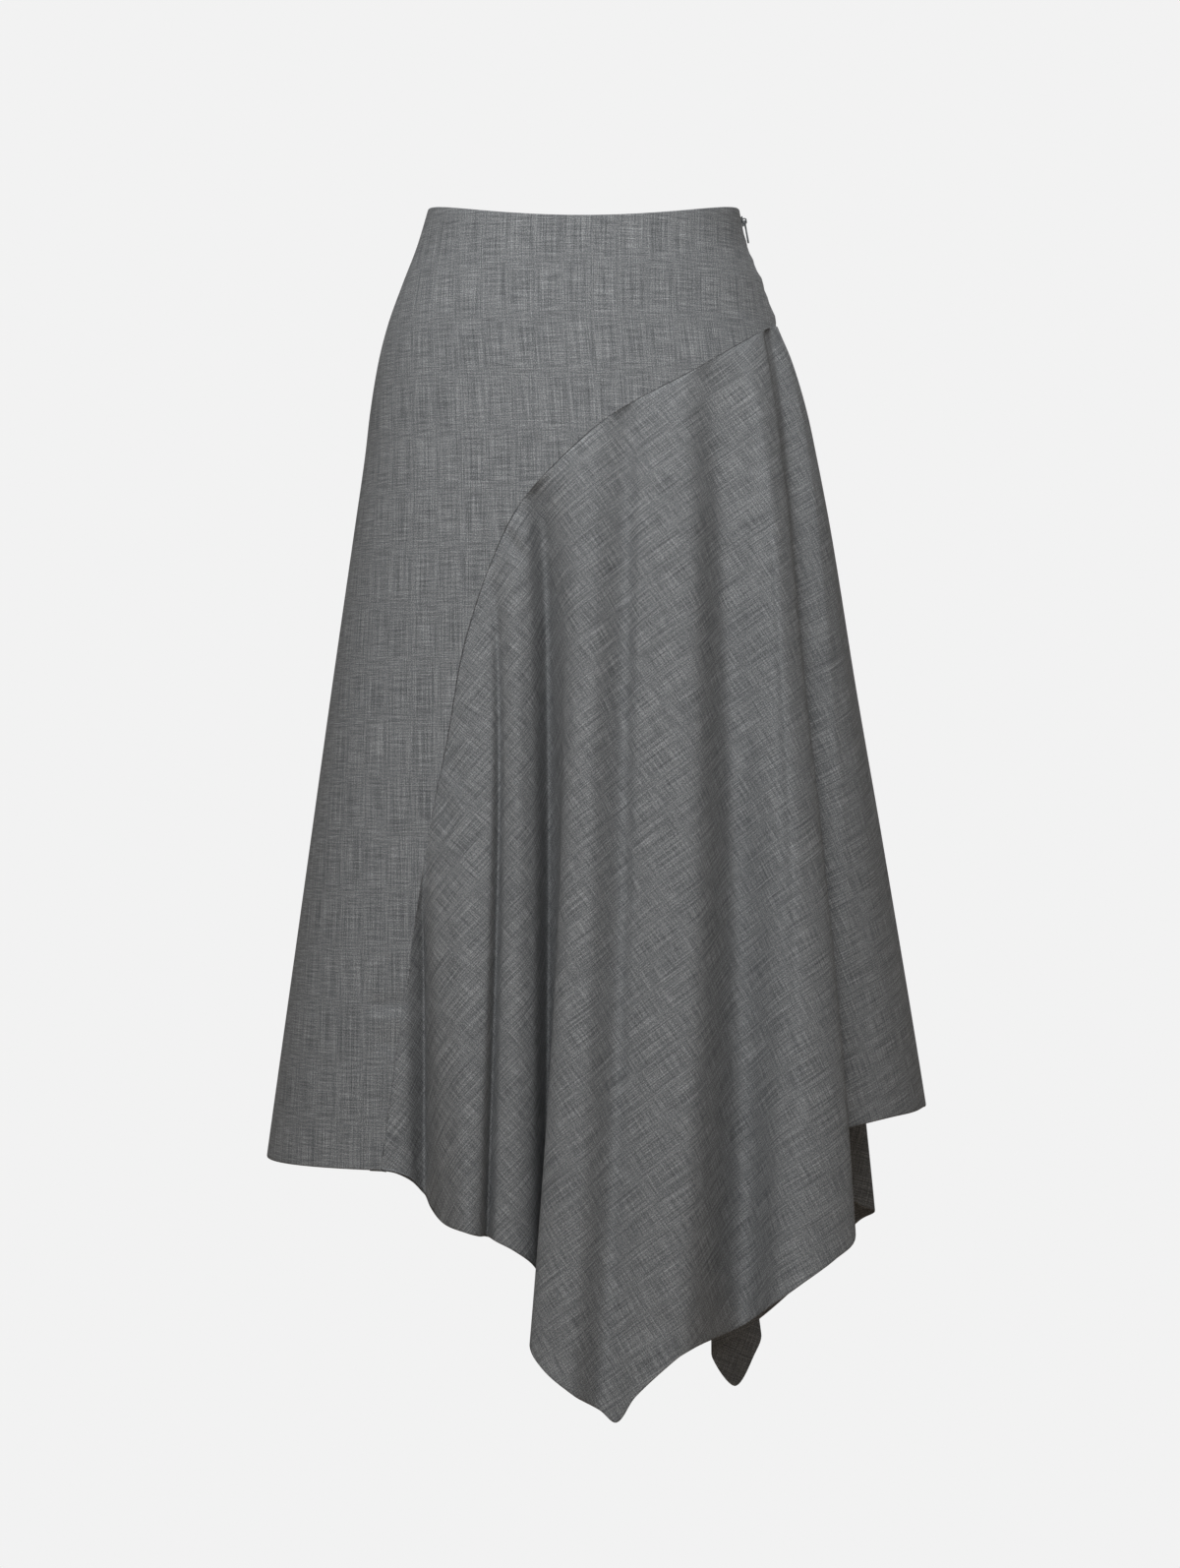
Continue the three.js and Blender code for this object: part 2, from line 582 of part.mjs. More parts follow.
skirt.add(named('zip_tape', zipTape(), tapeCloth));
const slope = (sideReach(0, SLIDER_DROP + SLIDER_LENGTH) - sideReach(0, SLIDER_DROP)) / SLIDER_LENGTH;
const zipTop = new THREE.Group();
zipTop.position.set(sideReach(0, SLIDER_DROP) + SLIDER_GAP, 0, -SLIDER_DROP);
zipTop.rotation.y = -Math.atan(slope);
zipTop.add(named('zip_slider', slider(), greyEnamel));
const tab = named('zip_pull', pullTab(), greyEnamel);
tab.position.x = SLIDER_THICK + BAIL_REACH / 2;
zipTop.add(tab);
skirt.add(zipTop);

export default skirt;
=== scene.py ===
import math

import bmesh
import bpy
import numpy as np
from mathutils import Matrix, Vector


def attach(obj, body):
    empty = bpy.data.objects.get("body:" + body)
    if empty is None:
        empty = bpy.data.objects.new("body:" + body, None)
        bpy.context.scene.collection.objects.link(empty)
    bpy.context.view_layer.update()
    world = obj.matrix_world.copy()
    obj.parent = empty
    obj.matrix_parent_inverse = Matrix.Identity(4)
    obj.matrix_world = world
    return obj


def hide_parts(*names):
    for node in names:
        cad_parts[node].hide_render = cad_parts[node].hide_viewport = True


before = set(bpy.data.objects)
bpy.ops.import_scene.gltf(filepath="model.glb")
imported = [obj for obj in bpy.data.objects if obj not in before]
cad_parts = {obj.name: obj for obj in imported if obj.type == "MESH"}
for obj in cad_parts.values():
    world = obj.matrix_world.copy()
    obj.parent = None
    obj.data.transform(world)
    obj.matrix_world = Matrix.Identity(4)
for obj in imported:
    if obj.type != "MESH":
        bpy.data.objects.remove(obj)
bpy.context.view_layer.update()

# The camera stands 3 m in front of the skirt, level with the middle of it, and looks straight at it.
# Its frame is 1.275 m high at the side seams, which is 0.8 mm for each of the photograph's 1594 rows.
CAMERA_PLACE = (0.0056, -3.0, -0.4664)
ROW_HEIGHT = 0.0008
PHOTO_ROWS = 1594


def add_object(name, data):
    """An object in the scene, at the origin."""
    added = bpy.data.objects.new(name, data)
    bpy.context.scene.collection.objects.link(added)
    return added


lens = bpy.data.cameras.new("camera")
lens.lens = lens.sensor_width * -CAMERA_PLACE[1] / (ROW_HEIGHT * PHOTO_ROWS)
camera = add_object("camera", lens)
camera.location = CAMERA_PLACE
camera.rotation_euler = (math.radians(90), 0, 0)
bpy.context.scene.camera = camera
bpy.context.scene.view_settings.view_transform = "Standard"

# A pale studio: a floor well below the hem that runs into an even, pale background, and soft light.
# The main light stands high on the left in front, a weak one fills from the right, and the room's own
# light is low and warm, so that the folds keep their depth.
PALE = (0.888, 0.888, 0.888, 1)
ROOM_LIGHT = (0.97, 0.93, 0.88, 1)
ROOM_STRENGTH = 0.19
FLOOR_HEIGHT = -1.3
FLOOR_RADIUS = 12
FLOOR_SIDES = 64
FLOOR_SURFACE = {"Base Color": (0.26, 0.21, 0.16, 1), "Roughness": 0.9}
# where it stands, what it looks at, its size, power and colour
LAMPS = {
    "main_light": ((-0.35, -2.0, 1.8), (0.0, 0.0, -0.1), 1.6, 93, (0.97, 0.985, 1.0)),
    "fill_light": ((1.9, -2.3, 1.3), (0.0, 0.0, -0.2), 1.5, 9, (0.97, 0.985, 1.0)),
    "back_light": ((0.6, 3.0, 1.9), (0.0, 0.0, -0.4), 2.0, 70, (0.98, 0.98, 1.0)),
}


def add_node(tree, kind, inputs=None, **settings):
    """A node with its settings and inputs, where an input is a value or another node's output."""
    node = tree.nodes.new(kind)
    for key, value in settings.items():
        setattr(node, key, value)
    for key, value in (inputs or {}).items():
        if isinstance(value, bpy.types.NodeSocket):
            tree.links.new(value, node.inputs[key])
        else:
            node.inputs[key].default_value = value
    return node


def seen_as(tree, pale, lit):
    """A shader that the camera sees as the pale background, and that lights the room as another."""
    ray = add_node(tree, "ShaderNodeLightPath")
    mix = add_node(tree, "ShaderNodeMixShader", {0: ray.outputs["Is Camera Ray"], 1: lit, 2: pale})
    return mix.outputs[0]


def new_material(name, values):
    """A material whose shader has the given values, with its node tree and that shader."""
    material = bpy.data.materials.new(name)
    material.use_nodes = True
    shader = material.node_tree.nodes["Principled BSDF"]
    for key, value in values.items():
        shader.inputs[key].default_value = value
    return material, material.node_tree, shader


def object_of(name, form, material):
    """An object made of a bmesh, which is freed, with one material."""
    mesh = bpy.data.meshes.new(name)
    form.to_mesh(mesh)
    form.free()
    mesh.materials.append(material)
    return add_object(name, mesh)


room = bpy.data.worlds.new("room")
room.use_nodes = True
room_tree = room.node_tree
glow = room_tree.nodes["Background"]
glow.inputs["Color"].default_value = ROOM_LIGHT
glow.inputs["Strength"].default_value = ROOM_STRENGTH
backdrop = add_node(room_tree, "ShaderNodeBackground", {"Color": PALE})
seen = seen_as(room_tree, backdrop.outputs[0], glow.outputs[0])
room_tree.links.new(seen, room_tree.nodes["World Output"].inputs["Surface"])
bpy.context.scene.world = room

floor_paint, floor_tree, paint = new_material("pale_floor", FLOOR_SURFACE)
even = add_node(floor_tree, "ShaderNodeEmission", {"Color": PALE})
seen = seen_as(floor_tree, even.outputs[0], paint.outputs[0])
floor_tree.links.new(seen, floor_tree.nodes["Material Output"].inputs["Surface"])

disc = bmesh.new()
bmesh.ops.create_circle(disc, cap_ends=True, radius=FLOOR_RADIUS, segments=FLOOR_SIDES)
bmesh.ops.translate(disc, vec=(0, 0, FLOOR_HEIGHT), verts=disc.verts)
floor = object_of("floor", disc, floor_paint)

for name, (place, target, size, power, colour) in LAMPS.items():
    lamp = bpy.data.lights.new(name, "AREA")
    lamp.shape = "DISK"
    lamp.size = size
    lamp.energy = power
    lamp.color = colour
    light = add_object(name, lamp)
    light.location = place
    light.rotation_euler = (Vector(target) - Vector(place)).to_track_quat("-Z", "Y").to_euler()
    light.visible_camera = False

# Wool suiting, the cloth of every panel: a plain weave of melange yarns, mid grey, with thinner and
# thicker, lighter and darker stretches in every thread both ways. It is matt, with a short soft nap.
# The map "grain" holds each point's place on the flat cloth in metres, warp upwards.
YARN_SPACING = 0.00062
# how wide and long the streaks are, in metres, how much they lighten or darken, and their seed
WARP_STREAKS = [(0.0009, 0.045, 0.36, 1.3), (0.0018, 0.120, 0.08, 7.1)]
WEFT_STREAKS = [(0.0009, 0.022, 0.33, 4.7), (0.0018, 0.070, 0.06, 9.9)]
FLECKS = (0.0009, 0.0009, 0.55, 3.1)
STREAK_NOISE = {"Scale": 1.0, "Detail": 2.0, "Roughness": 0.6}
NOISE_GAIN = 4.0
# how far a seed moves the noise up the cloth, for each unit that it moves it across
SEED_RISE = 1.7
WEAVE_STRENGTH = 0.10
WOOL_BUMP = {"Strength": 0.35, "Distance": 0.0001}
WOOL_SURFACE = {
    "Roughness": 0.88, "Specular IOR Level": 0.15, "Sheen Weight": 0.03, "Sheen Roughness": 0.45,
}
DARK_YARN = (0.042, 0.046, 0.050, 1)
MIDDLE_YARN = (0.151, 0.156, 0.161, 1)
LIGHT_YARN = (0.400, 0.408, 0.412, 1)


def math_node(tree, operation, first, second=0.0, third=0.0):
    """The output of a maths node."""
    node = add_node(tree, "ShaderNodeMath", {0: first, 1: second, 2: third}, operation=operation)
    return node.outputs[0]


def streaks(tree, coordinates, across, along, seed):
    """Noise drawn out along a thread, -1 to 1."""
    scaled = add_node(tree, "ShaderNodeMapping", {
        "Vector": coordinates,
        "Location": (seed, seed * SEED_RISE, 0),
        "Scale": (1 / across, 1 / along, 1),
    })
    noise = add_node(
        tree, "ShaderNodeTexNoise", {"Vector": scaled.outputs[0], **STREAK_NOISE}, noise_dimensions="2D")
    return math_node(tree, "MULTIPLY_ADD", noise.outputs["Fac"], NOISE_GAIN, -NOISE_GAIN / 2)


def make_wool():
    """The wool's material: a dark, a middle and a light yarn, mixed by streaks, flecks and the weave."""
    wool, tree, shader = new_material("melange_wool", WOOL_SURFACE)
    grain = add_node(tree, "ShaderNodeUVMap", uv_map="grain").outputs[0]
    layers = list(WARP_STREAKS)
    layers += [(along, across, strength, seed) for across, along, strength, seed in WEFT_STREAKS]
    layers.append(FLECKS)
    tone = 0.0
    for size_across, size_along, strength, seed in layers:
        layer = streaks(tree, grain, size_across, size_along, seed)
        tone = math_node(tree, "MULTIPLY_ADD", layer, strength, tone)
    separate = add_node(tree, "ShaderNodeSeparateXYZ", {0: grain})
    warp, weft = (
        math_node(tree, "SINE", math_node(tree, "MULTIPLY", place, math.tau / YARN_SPACING))
        for place in separate.outputs[:2])
    weave = math_node(tree, "MULTIPLY", warp, weft)
    tone = math_node(tree, "MULTIPLY_ADD", weave, WEAVE_STRENGTH, tone)
    share = math_node(tree, "MULTIPLY_ADD", tone, 0.5, 0.5)
    ramp = add_node(tree, "ShaderNodeValToRGB", {"Fac": share})
    ramp.color_ramp.elements[0].color = DARK_YARN
    ramp.color_ramp.elements[1].color = LIGHT_YARN
    middle = ramp.color_ramp.elements.new(0.5)
    middle.color = MIDDLE_YARN
    bump = add_node(tree, "ShaderNodeBump", {"Height": math_node(tree, "ADD", tone, weave), **WOOL_BUMP})
    tree.links.new(ramp.outputs["Color"], shader.inputs["Base Color"])
    tree.links.new(bump.outputs["Normal"], shader.inputs["Normal"])
    return wool


wool = make_wool()

# The front and back of the body: two panels on the straight grain, with no waistband. The waist edge is
# turned in, the hem is turned up and sewn blind, and the side seams are rolled in and pressed open.
# Sizes are in millimetres. A turn is an angle round the body: 0 at the zip, 90 behind, 270 in front.
MM = 0.001
CLOTH_THICK = 0.7
FRONT_DIP = 18
BACK_DIP = 10


def table(names, rows):
    """A table with named columns."""
    return np.array(rows, dtype=[(name, float) for name in names.split()])


BODY_SECTIONS = table("drop left right front back box_left box_right", [
    (0, -126, 127, 93, 93, 2.05, 2.05),
    (30, -135, 133, 97, 98, 2.05, 2.05),
    (60, -146.5, 145, 102, 106, 2.08, 2.05),
    (95, -159, 158, 108, 115, 2.1, 2),
    (125, -166.5, 170.5, 113, 121, 2.15, 2),
    (165, -173, 182.5, 119, 126, 2.2, 1.95),
    (200, -177, 190, 124, 130, 2.25, 1.9),
    (260, -185.5, 201.5, 130, 134, 2.3, 1.88),
    (390, -204, 222.5, 138, 141, 2.4, 1.82),
    (520, -222, 245, 145, 147, 2.45, 1.78),
    (765, -256, 285, 158, 158, 2.5, 1.75),
    (1000, -288, 318, 168, 168, 2.5, 1.75),
])
DRAPE_SEAM = table("round drop", [
    (0, 94), (20, 100), (40, 115), (59, 138.5), (84, 177), (98, 214), (108, 252), (114.7, 303),
    (119.4, 362), (121.7, 430), (124.5, 503), (126.8, 600), (129.4, 767),
])
# How a panel's edge is finished: at each distance from the edge inside the panel, how deep the turned
# cloth lies behind the outer face. It starts at the end that is turned in.
ROLLED_SEAM = table("inside depth", [
    (9, 1.5), (4, 1.5), (1.2, 1.45), (0.35, 1.2), (0, 0.75), (0.05, 0.3), (0.25, 0.08), (0.8, 0),
])
TURNED_HEM = table("inside depth", [
    (26, 1.5), (18, 1.45), (10, 1.4), (4, 1.4), (1.2, 1.35), (0.3, 1.15), (0.02, 0.75), (0.2, 0.3),
    (0.8, 0.06), (2, 0),
])
# Small creases that the big folds don't make, each with its start and its end as seen from its side, its
# width, and its height, or its depth below 0.
CREASES = {
    "front": table("x drop to_x to_drop width height", [
        (-60, 270, -49, 288, 5, -2.4),
        (-54, 266, -41, 282, 6, 1.4),
        (-104, 446, -94, 464, 5, -2.2),
        (-99, 440, -88, 459, 6, 1.3),
        (-111, 475, -102, 493, 4.5, -2.4),
        (-106, 470, -95, 489, 5, 1.1),
        (-163, 640, -139, 638, 6, -1.6),
        (-160, 648, -142, 647, 5, 1.0),
        (-157, 669, -140, 668, 6, -1.3),
        (64, 876, 72, 903, 7, -2.9),
        (73, 872, 81, 899, 7, 1.4),
    ]),
    "back": table("x drop to_x to_drop width height", [
        (-70, 285, -57, 306, 5, -2.1),
        (-64, 280, -50, 298, 6, 1.3),
        (-109, 462, -99, 486, 5, -2.4),
        (-102, 458, -91, 478, 6, 1.3),
        (-165, 612, -146, 609, 6, -1.4),
        (-160, 655, -141, 652, 6, -1.1),
        (30, 820, 41, 852, 8, -2.6),
        (150, 560, 163, 590, 8, -1.9),
    ]),
}
ZIP_RIPPLES = table("drop spread height", [
    (27, 5, 0.8), (41, 5.5, 1.6), (57, 6, 2.0), (72, 4.5, 0.9), (85, 5, 1.5),
])
RIPPLE_REACH = 24
SEAM_ALLOWANCE = 15
BODY_COLUMNS = 96
BODY_ROWS = 150
# an edge's turned cloth takes up no more than this share of a panel that is narrow there
WIDEST_EDGE = 0.45
# how finely shapes are sampled to measure them, and the steps that outward directions are taken with
SEAM_SAMPLES = 400
SEAM_MM_PER_DEGREE = 2
ROUGH_LINES = 41
MEASURED_LINES = 200
FLAT_TURNS = 181
FLAT_DROPS = (-20, 800, 42)
BODY_STEP = 0.5
PANEL_STEP = 0.002
JUST_INSIDE = 0.001
SMALLEST = 1e-9


def smooth_at(rows, key, name, at):
    """A smooth curve through a table's column that never overshoots its rows."""
    x, y = rows[key], rows[name]
    slope = np.diff(y) / np.diff(x)
    before, after = slope[:-1], slope[1:]
    product = before * after
    total = np.where(product > 0, before + after, 1)
    tangent = np.concatenate([slope[:1], np.where(product > 0, 2 * product / total, 0), slope[-1:]])
    row = np.clip(np.searchsorted(x, at, side="left") - 1, 0, len(x) - 2)
    span = x[row + 1] - x[row]
    t = (at - x[row]) / span
    return ((2 * t**3 - 3 * t**2 + 1) * y[row] + (t**3 - 2 * t**2 + t) * span * tangent[row]
            + (3 * t**2 - 2 * t**3) * y[row + 1] + (t**3 - t**2) * span * tangent[row + 1])


def catmull_rom(points, at):
    """Points at places 0 to 1 on a centripetal spline through the given ones."""
    points = np.asarray(points, float)
    ends = 2 * points[0] - points[1], 2 * points[-1] - points[-2]
    padded = np.vstack([ends[0], points, ends[1]])
    step = np.sqrt(np.linalg.norm(np.diff(padded, axis=0), axis=1))[:, None]
    place = np.clip(np.asarray(at, float), 0, 1) * (len(points) - 1)
    i = np.minimum(place.astype(int), len(points) - 2)
    t = (place - i)[:, None]
    a, b, c, d = (padded[i + k] for k in range(4))
    da, db, dc = (step[i + k] for k in range(3))
    start = ((b - a) / da - (c - a) / (da + db) + (c - b) / db) * db
    end = ((c - b) / db - (d - b) / (db + dc) + (d - c) / dc) * db
    return b + start * t + (3 * (c - b) - 2 * start - end) * t**2 + (2 * (b - c) + start + end) * t**3


def body_point(turn, drop):
    """Points of the worn body's surface, before any fold."""
    at = {name: smooth_at(BODY_SECTIONS, "drop", name, drop) for name in BODY_SECTIONS.dtype.names[1:]}
    angle = np.radians(turn)
    across = np.cos(angle)
    box = at["box_left"] + (at["box_right"] - at["box_left"]) * (across + 1) / 2
    depth = np.where(np.sin(angle) > 0, at["back"], -at["front"])
    bulge = np.maximum(0, 1 - np.abs(across) ** box) ** (1 / box)
    x = (at["left"] + at["right"]) / 2 + (at["right"] - at["left"]) / 2 * across
    return np.stack([x, depth * bulge, -drop + 0 * x], axis=-1)


def unit(vectors):
    """The same directions at length 1."""
    return vectors / np.maximum(np.linalg.norm(vectors, axis=-1, keepdims=True), SMALLEST)


def body_normal(turn, drop):
    """The outward direction of the body's surface."""
    around = body_point(turn + BODY_STEP, drop) - body_point(turn - BODY_STEP, drop)
    down = body_point(turn, drop + BODY_STEP) - body_point(turn, drop - BODY_STEP)
    return unit(np.cross(down, around))


def seam_places(side):
    """The drape's seam on one side: turns, drops and lengths down from the right hip."""
    knots = np.stack([DRAPE_SEAM["round"] * SEAM_MM_PER_DEGREE, DRAPE_SEAM["drop"]], axis=1)
    plan = catmull_rom(knots, np.linspace(0, 1, SEAM_SAMPLES + 1))
    turn = plan[:, 0] / SEAM_MM_PER_DEGREE
    if side == "front":
        turn = 360 - turn
    drop = plan[:, 1]
    steps = np.linalg.norm(np.diff(body_point(turn, drop), axis=0), axis=1)
    along = np.concatenate([[0], np.cumsum(steps)])
    return table("turn drop along", list(zip(turn, drop, along)))


def on_seam(seam, along):
    """Turns and drops at lengths down a seam."""
    return np.interp(along, seam["along"], seam["turn"]), np.interp(along, seam["along"], seam["drop"])


def lengths(points, axis):
    """How long each line of a grid is, along one of its axes."""
    return np.linalg.norm(np.diff(points, axis=axis), axis=2).sum(axis=axis)


def edge_steps(first_edge, regular, last_edge):
    """Steps of a grid's side: turned cloth at one end, the panel, turned cloth at the other end. A step has
    its kind, its distance inside the edge or its share of the panel, and its depth behind the outer face."""
    steps = [("first", inside, depth) for inside, depth in first_edge]
    steps += [("share", share, 0.0) for share in regular]
    steps += [("last", inside, depth) for inside, depth in last_edge[::-1]]
    return steps


def shares(steps, size):
    """The place 0 to 1 of each step, on lines of the given sizes."""
    rows = []
    for kind, value, _ in steps:
        inside = value + 0 * size if kind == "share" else np.minimum(value / size, WIDEST_EDGE)
        rows.append(1 - inside if kind == "last" else inside)
    return np.array(rows)


def grid_object(name, across, down, points, flat_points, material):
    """A sheet of quads over a grid of points, with its place on the flat cloth as a map."""
    sheet = bmesh.new()
    bmesh.ops.create_grid(sheet, x_segments=across - 1, y_segments=down - 1, size=1, calc_uvs=False)
    sheet.verts.ensure_lookup_table()
    order = np.array([vert.co[:2] for vert in sheet.verts])
    column = np.rint((order[:, 0] + 1) / 2 * (across - 1)).astype(int)
    row = np.rint((1 - order[:, 1]) / 2 * (down - 1)).astype(int)
    grain = sheet.loops.layers.uv.new("grain")
    placed = points[row, column] * MM
    flat = flat_points[row, column] * MM
    for vert, place in zip(sheet.verts, placed):
        vert.co = place
    for face in sheet.faces:
        face.smooth = True
        for loop in face.loops:
            loop[grain].uv = flat[loop.vert.index]
    piece = object_of(name, sheet, material)
    thick = piece.modifiers.new("cloth", "SOLIDIFY")
    thick.thickness = CLOTH_THICK * MM
    thick.offset = -1
    return piece


def cloth_panel(name, surface, flat_of, columns, rows, sides, top, hem, material):
    """A panel of cloth with its edges turned in. surface and flat_of take places 0 to 1 across and down."""
    coarse = np.linspace(0, 1, ROUGH_LINES)
    rough = surface(*np.meshgrid(coarse, coarse))
    width, length = lengths(rough, 1), lengths(rough, 0)
    u_steps = edge_steps(sides[0], columns, sides[1])
    v_steps = edge_steps(top, rows, hem)
    v_middle = shares(v_steps, np.full(1, length.mean()))[:, 0]
    u_all = shares(u_steps, np.maximum(np.interp(v_middle, coarse, width), 1)).T
    u_middle = u_all[len(v_steps) // 2]
    v_all = shares(v_steps, np.maximum(np.interp(u_middle, coarse, length), 1))
    points = surface(u_all, v_all)
    depth_u = np.array([step[2] for step in u_steps])
    depth_v = np.array([step[2] for step in v_steps])
    depth = depth_v[:, None] + depth_u[None, :]
    right, left = np.minimum(u_all + PANEL_STEP, 1), np.maximum(u_all - PANEL_STEP, 0)
    lower, upper = np.minimum(v_all + PANEL_STEP, 1), np.maximum(v_all - PANEL_STEP, 0)
    around = surface(right, v_all) - surface(left, v_all)
    down = surface(u_all, lower) - surface(u_all, upper)
    outward = unit(np.cross(down, around))
    points = points - outward * depth[..., None]
    return grid_object(name, len(u_steps), len(v_steps), points, flat_of(u_all, v_all), material)


def waist_drop(turn):
    """How far the waist edge lies below the side seams' top, all round."""
    angle = np.radians(turn)
    return np.where(np.sin(angle) > 0, BACK_DIP, FRONT_DIP) * np.sin(angle) ** 2


def body_surface(side):
    """The surface of a body panel: across from one side to the other, anticlockwise from above, and down
    from the waist to the hem. Below the hip it ends at the drape's seam. With it, its turns and drops."""
    seam = seam_places(side)
    zip_turn = seam["turn"][0]
    hip_drop = seam["drop"][0]
    hem_drop = seam["drop"][-1]
    top_share = hip_drop / hem_drop

    def place(u, v):
        along_drop = np.clip((v - top_share) / (1 - top_share), 0, 1) * (hem_drop - hip_drop) + hip_drop
        along = np.interp(along_drop, seam["drop"], seam["along"])
        end_turn = np.where(v < top_share, zip_turn, np.interp(along, seam["along"], seam["turn"]))
        share = u if side == "front" else 1 - u
        turn = 180 + (end_turn - 180) * share
        top = waist_drop(turn)
        drop = np.where(v < top_share, top + (hip_drop - top) * np.minimum(v / top_share, 1), along_drop)
        return turn, drop

    return lambda u, v: body_point(*place(u, v)), place


def body_flat(place, side):
    """The place of a body panel's points on the flat cloth: round from the middle of the panel, and down."""
    first_turn = 180 if side == "front" else 0
    turns = np.linspace(first_turn, first_turn + 180, FLAT_TURNS)
    drops = np.linspace(*FLAT_DROPS)
    whole = body_point(*np.meshgrid(turns, drops))
    steps = np.linalg.norm(np.diff(whole, axis=1), axis=2)
    arcs = np.concatenate([np.zeros((len(drops), 1)), np.cumsum(steps, axis=1)], axis=1)
    arcs -= arcs[:, [len(turns) // 2]]

    def flat(u, v):
        turn, drop = place(u, v)
        i = np.clip((drop - drops[0]) / (drops[1] - drops[0]), 0, len(drops) - 1 - JUST_INSIDE)
        j = np.clip(turn - turns[0], 0, len(turns) - 1 - JUST_INSIDE)
        i0, j0 = i.astype(int), j.astype(int)
        fi, fj = i - i0, j - j0
        arc = ((arcs[i0, j0] * (1 - fj) + arcs[i0, j0 + 1] * fj) * (1 - fi)
               + (arcs[i0 + 1, j0] * (1 - fj) + arcs[i0 + 1, j0 + 1] * fj) * fi)
        return np.stack([arc, -drop], axis=-1)

    return flat


def creased(surface, side):
    """A surface with the small creases of its side, and the ripples beside the zip."""
    outward = -1 if side == "front" else 1

    def with_creases(u, v):
        points = surface(u, v)
        x, drop = points[..., 0], -points[..., 2]
        lift = 0 * x
        for row in CREASES[side]:
            run_x, run_down = row["to_x"] - row["x"], row["to_drop"] - row["drop"]
            along = ((x - row["x"]) * run_x + (drop - row["drop"]) * run_down) / (run_x**2 + run_down**2)
            along = np.clip(along, 0, 1)
            away = np.hypot(x - row["x"] - run_x * along, drop - row["drop"] - run_down * along)
            lift += row["height"] * np.exp(-((away / row["width"]) ** 2))
        ripples = 0 * x
        for row in ZIP_RIPPLES:
            ripples += row["height"] * np.exp(-(((drop - row["drop"]) / row["spread"]) ** 2))
        ripples *= np.exp(-((points[..., 1] / RIPPLE_REACH) ** 2)) * (x > 0)
        return points + np.stack([ripples, outward * lift, 0 * x], axis=-1)

    return with_creases


def inner_shares(count, closer=0.35):
    """Places across a panel between its turned edges, a little closer near both."""
    share = np.linspace(0, 1, count + 2)[1:-1]
    return share + closer * ((1 - np.cos(np.pi * share)) / 2 - share)


def area_of(surface):
    """A surface's area, in square metres."""
    share = np.linspace(0, 1, MEASURED_LINES)
    points = surface(*np.meshgrid(share, share))
    a, b = points[:-1, :-1], points[1:, :-1]
    c, d = points[:-1, 1:], points[1:, 1:]
    halves = np.linalg.norm(np.cross(b - a, c - a), axis=2) + np.linalg.norm(np.cross(b - d, c - d), axis=2)
    return halves.sum() / 2 * MM**2


def flat_area(outline):
    """The area inside a flat outline."""
    x, y = outline.T
    return abs(np.sum(x * np.roll(y, -1) - y * np.roll(x, -1))) / 2


def outline_of(cloth):
    """The outline of a flat grid, once round."""
    return np.concatenate([cloth[0], cloth[1:, -1], cloth[-1, -2::-1], cloth[-2:0:-1, 0]])


def cut_of(flat_of):
    """A panel's cut with its seam allowances: its (width, length) and its area, in metres."""
    share = np.linspace(0, 1, MEASURED_LINES)
    outline = outline_of(flat_of(*np.meshgrid(share, share)))
    around = np.linalg.norm(outline - np.roll(outline, 1, axis=0), axis=1).sum()
    size = (np.ptp(outline, axis=0) + 2 * SEAM_ALLOWANCE) * MM
    return tuple(size), (flat_area(outline) + around * SEAM_ALLOWANCE) * MM**2


for side in ("front", "back"):
    surface, place = body_surface(side)
    surface = creased(surface, side)
    flat_of = body_flat(place, side)
    cut, cut_area = cut_of(flat_of)
    panel = cloth_panel(
        f"{side}_body_cloth", surface, flat_of, inner_shares(BODY_COLUMNS), inner_shares(BODY_ROWS, 0),
        (ROLLED_SEAM, ROLLED_SEAM), TURNED_HEM[3:], TURNED_HEM, wool)
    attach(panel, "skirt")
    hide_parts(f"{side}_body")

# The two drapes, cut on the bias. Each is sewn to the curved seam and hangs from it in folds, deep in the
# middle and shallow near the left hem, to a pointed corner. The hem is turned up and sewn blind.
# In the tables a row is a crest or a valley: where it starts down the seam, and where it meets the hem.
ZIP_SIDE_DROP = 728
SEAM_END = 12
FRONT_FOLDS = table("along x y drop bulge sway", [
    (790, -145, -135, 769, 0, 0),
    (710, -134, -128, 775, 2, 0),
    (660, -128, -116, 782, -4, 0),
    (638, -124, -112, 788, -8, 0),
    (610, -119, -124, 797, -2, 0),
    (560, -107, -150, 807, 3, 0),
    (480, -89, -172, 811, 4, 2),
    (392, -80, -166, 814, 1, 3),
    (378, -74, -144, 817, -2, 3),
    (364, -67, -160, 819, 1, 3),
    (342, -54, -163, 825, 5, 3),
    (320, -38, -150, 838, 0, 2.5),
    (302, -30, -110, 862, -18, 2.5),
    (290, -24, -144, 880, -9, 3),
    (280, -41, -170, 897, -1, 4),
    (262, -30, -187, 914, 4, 3),
    (240, -8, -194, 931, 4, 1),
    (206, 13, -175, 946, -9, 0),
    (190, 25, -179, 955, 1, -1),
    (178, 40, -187, 934, 5, 0),
    (156, 76, -190, 902, 6, 0),
    (130, 124, -122, 890, -6, 2),
    (104, 149, -168, 864, 1, 2),
    (84, 166, -175, 851, 6, -2),
    (66, 194, -162, 833, 3, -5),
    (54, 212, -138, 818, -1, -6),
    (46, 196, -118, 787, -9, -4),
    (40, 186, -104, 758, -9, -2),
    (33, 199, -97, 741, -1, 0),
    (27, 214, -90, 737, 2, 0),
    (20, 244, -66, 732, 2, 0),
    (10, 267, -34, 730, 0, 0),
])
